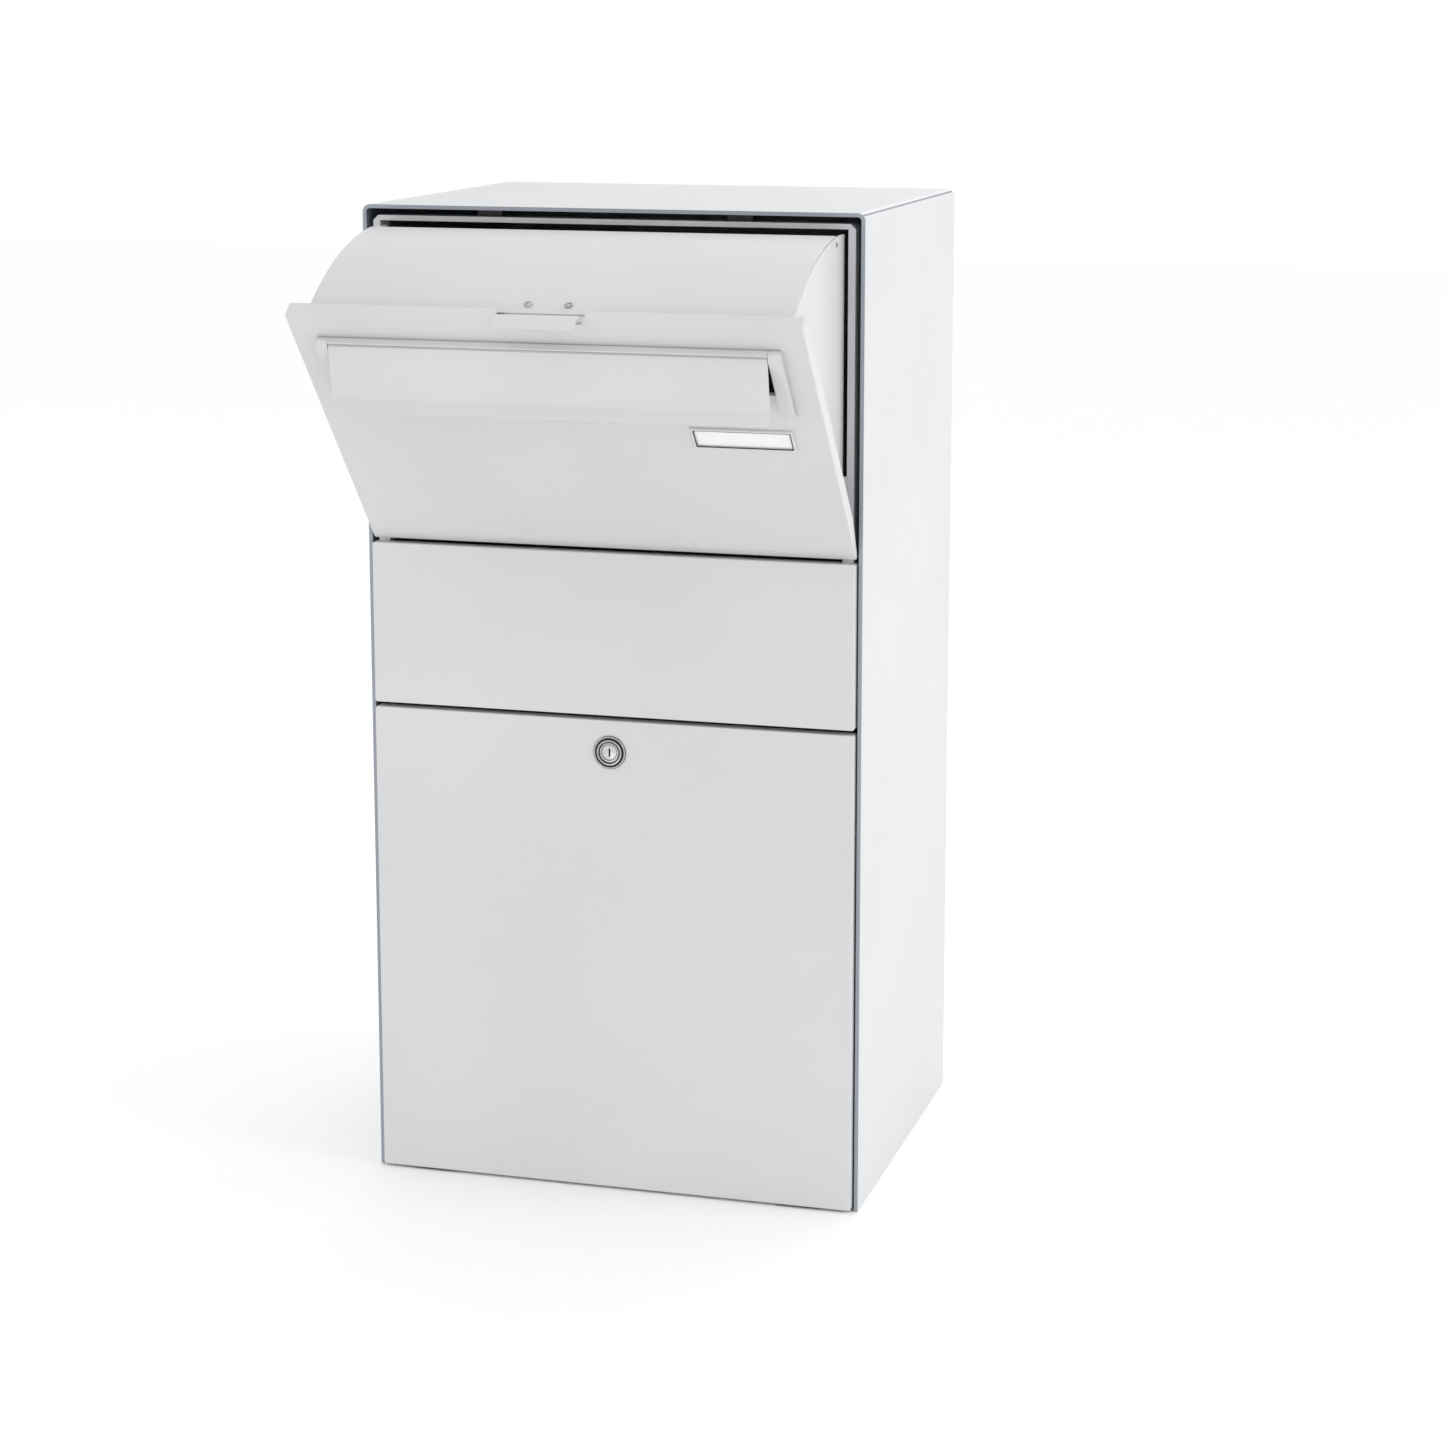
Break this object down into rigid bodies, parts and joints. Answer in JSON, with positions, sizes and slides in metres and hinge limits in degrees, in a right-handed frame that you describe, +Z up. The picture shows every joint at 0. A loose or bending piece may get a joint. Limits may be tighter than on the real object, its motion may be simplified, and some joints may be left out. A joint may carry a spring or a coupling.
{
  "type": "parcel locker",
  "caption": "Free-standing steel parcel locker with a tilting deposit hopper, curved lid, hinged letter flap, fixed fascia and a locked drop-down collection door.",
  "frame": {"origin": "middle of the base's underside, on the floor plane", "axes": "+X to the right seen from the front, +Y towards the back, +Z up"},
  "size_m": [0.4, 0.4996, 0.78],
  "materials": {
    "white_coat": "fine white powder coat on sheet steel",
    "grey_coat": "light grey satin powder coat",
    "zinc_steel": "zinc plated steel",
    "aluminium": "satin aluminium",
    "stainless": "stainless steel",
    "lock_chrome": "satin nickel chrome",
    "bush_plastic": "black nylon",
    "black_steel": "black oxide",
    "clear_window": "clear acrylic",
    "label_card": "plain white label"
  },
  "bodies": {
    "cabinet": {"casing": "white_coat", "back_panel": "white_coat", "base_plate": "white_coat", "rear_rivets": "aluminium", "middle_fascia": "white_coat", "fascia_brackets": "zinc_steel", "fascia_screws": "stainless", "opening_frame": "grey_coat", "frame_spacers": "zinc_steel", "hopper_pivot_bracket_right": "grey_coat", "hopper_pivot_bracket_left": "grey_coat", "hopper_pivot_pins": "stainless", "hopper_stops": "grey_coat", "drop_baffle": "white_coat", "lock_keeper": "zinc_steel", "door_hinge_bracket_right": "zinc_steel", "door_hinge_bracket_left": "zinc_steel", "door_hinge_pins": "stainless"},
    "door": {"door_panel": "white_coat", "door_stiffener": "white_coat", "door_hinge_leaf_right": "zinc_steel", "door_hinge_leaf_left": "zinc_steel", "lock_body": "lock_chrome", "lock_nut": "lock_chrome"},
    "lock_core": {"lock_plug": "lock_chrome", "dust_shutter": "stainless", "lock_cam": "zinc_steel", "cam_screw": "stainless"},
    "hopper": {"flap_panel": "white_coat", "hopper_cheek_right": "white_coat", "hopper_cheek_left": "white_coat", "hopper_pivot_bushes": "bush_plastic", "hopper_crossbar": "white_coat", "hopper_floor": "white_coat", "hopper_stop_tabs": "white_coat", "lid_pivot_screws": "black_steel", "letter_end_cap_right": "white_coat", "letter_end_cap_left": "white_coat", "letter_frame_top_rail": "white_coat", "letter_frame_bottom_rail": "white_coat", "letter_flap_axle": "stainless", "name_plate_frame": "aluminium", "name_plate_window": "clear_window", "name_label": "label_card"},
    "letter_flap": {"letter_flap": "white_coat"},
    "lid": {"lid_plate": "white_coat", "lid_ear_right": "white_coat", "lid_ear_left": "white_coat", "lid_clip": "white_coat", "clip_screws": "stainless", "clip_nuts": "stainless"}
  },
  "joints": [
    {"name": "hopper_tilt", "type": "hinge", "parent": "cabinet", "child": "hopper", "pos_m": [0, -0.16, 0.5275], "axis": [1, 0, 0], "range_deg": [-41, 0]},
    {"name": "lid_swing", "type": "hinge", "parent": "hopper", "child": "lid", "pos_m": [0, -0.17893, 0.75772], "axis": [-1, 0, 0], "range_deg": [0, 89]},
    {"name": "letter_flap_swing", "type": "hinge", "parent": "hopper", "child": "letter_flap", "pos_m": [0, -0.31122, 0.68622], "axis": [1, 0, 0], "range_deg": [-60, 31]},
    {"name": "door_swing", "type": "hinge", "parent": "cabinet", "child": "door", "pos_m": [0, -0.159, 0.014], "axis": [1, 0, 0], "range_deg": [0, 90]},
    {"name": "lock_turn", "type": "hinge", "parent": "door", "child": "lock_core", "pos_m": [0, -0.16, 0.3585], "axis": [0, -1, 0], "range_deg": [0, 90]}
  ]
}
